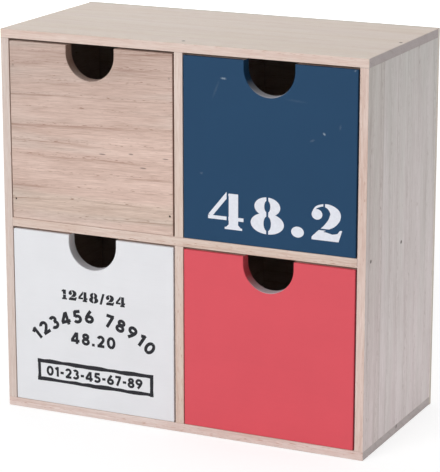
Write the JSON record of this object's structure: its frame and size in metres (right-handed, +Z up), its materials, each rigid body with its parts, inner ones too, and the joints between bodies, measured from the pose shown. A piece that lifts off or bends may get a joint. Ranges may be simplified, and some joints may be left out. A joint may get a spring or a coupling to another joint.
{
  "type": "desktop drawer cabinet",
  "caption": "Small wooden desktop cabinet with pull-out drawers in two columns, each with a U-shaped finger notch, for craft parts and desk supplies.",
  "frame": {"origin": "on the ground under the middle of the cabinet, halfway across its width and its depth", "axes": "+Z up, +Y from the drawer fronts towards the back panel, +X to the right as seen from the front"},
  "size_m": [0.26, 0.125, 0.26],
  "materials": {
    "bare_wood": "sanded, unfinished paulownia",
    "plywood": "sanded thin plywood",
    "navy_paint": "satin navy paint on wood",
    "white_paint": "satin white paint on wood",
    "coral_paint": "satin coral red paint on wood",
    "brad_steel": "drawn wire, dull"
  },
  "bodies": {
    "cabinet": {"top_panel": "bare_wood", "bottom_panel": "bare_wood", "left_side": "bare_wood", "right_side": "bare_wood", "middle_shelf": "bare_wood", "upper_divider": "bare_wood", "lower_divider": "bare_wood", "back_panel": "plywood", "top_brads": "brad_steel", "bottom_brads": "brad_steel", "side_brads": "brad_steel", "shelf_brads": "brad_steel", "back_brads": "brad_steel"},
    "upper_left_drawer": {"upper_left_drawer_front": "bare_wood", "upper_left_drawer_left_side": "bare_wood", "upper_left_drawer_right_side": "bare_wood", "upper_left_drawer_back": "bare_wood", "upper_left_drawer_bottom": "plywood", "upper_left_drawer_brads": "brad_steel"},
    "upper_right_drawer": {"upper_right_drawer_front": "navy_paint", "upper_right_drawer_left_side": "bare_wood", "upper_right_drawer_right_side": "bare_wood", "upper_right_drawer_back": "bare_wood", "upper_right_drawer_bottom": "plywood", "upper_right_drawer_brads": "brad_steel"},
    "lower_left_drawer": {"lower_left_drawer_front": "white_paint", "lower_left_drawer_left_side": "bare_wood", "lower_left_drawer_right_side": "bare_wood", "lower_left_drawer_back": "bare_wood", "lower_left_drawer_bottom": "plywood", "lower_left_drawer_brads": "brad_steel"},
    "lower_right_drawer": {"lower_right_drawer_front": "coral_paint", "lower_right_drawer_left_side": "bare_wood", "lower_right_drawer_right_side": "bare_wood", "lower_right_drawer_back": "bare_wood", "lower_right_drawer_bottom": "plywood", "lower_right_drawer_brads": "brad_steel"}
  },
  "joints": [
    {"name": "upper_left_slide", "type": "slide", "parent": "cabinet", "child": "upper_left_drawer", "axis": [0, -1, 0], "range_m": [0, 0.1]},
    {"name": "upper_right_slide", "type": "slide", "parent": "cabinet", "child": "upper_right_drawer", "axis": [0, -1, 0], "range_m": [0, 0.1]},
    {"name": "lower_left_slide", "type": "slide", "parent": "cabinet", "child": "lower_left_drawer", "axis": [0, -1, 0], "range_m": [0, 0.1]},
    {"name": "lower_right_slide", "type": "slide", "parent": "cabinet", "child": "lower_right_drawer", "axis": [0, -1, 0], "range_m": [0, 0.1]}
  ]
}
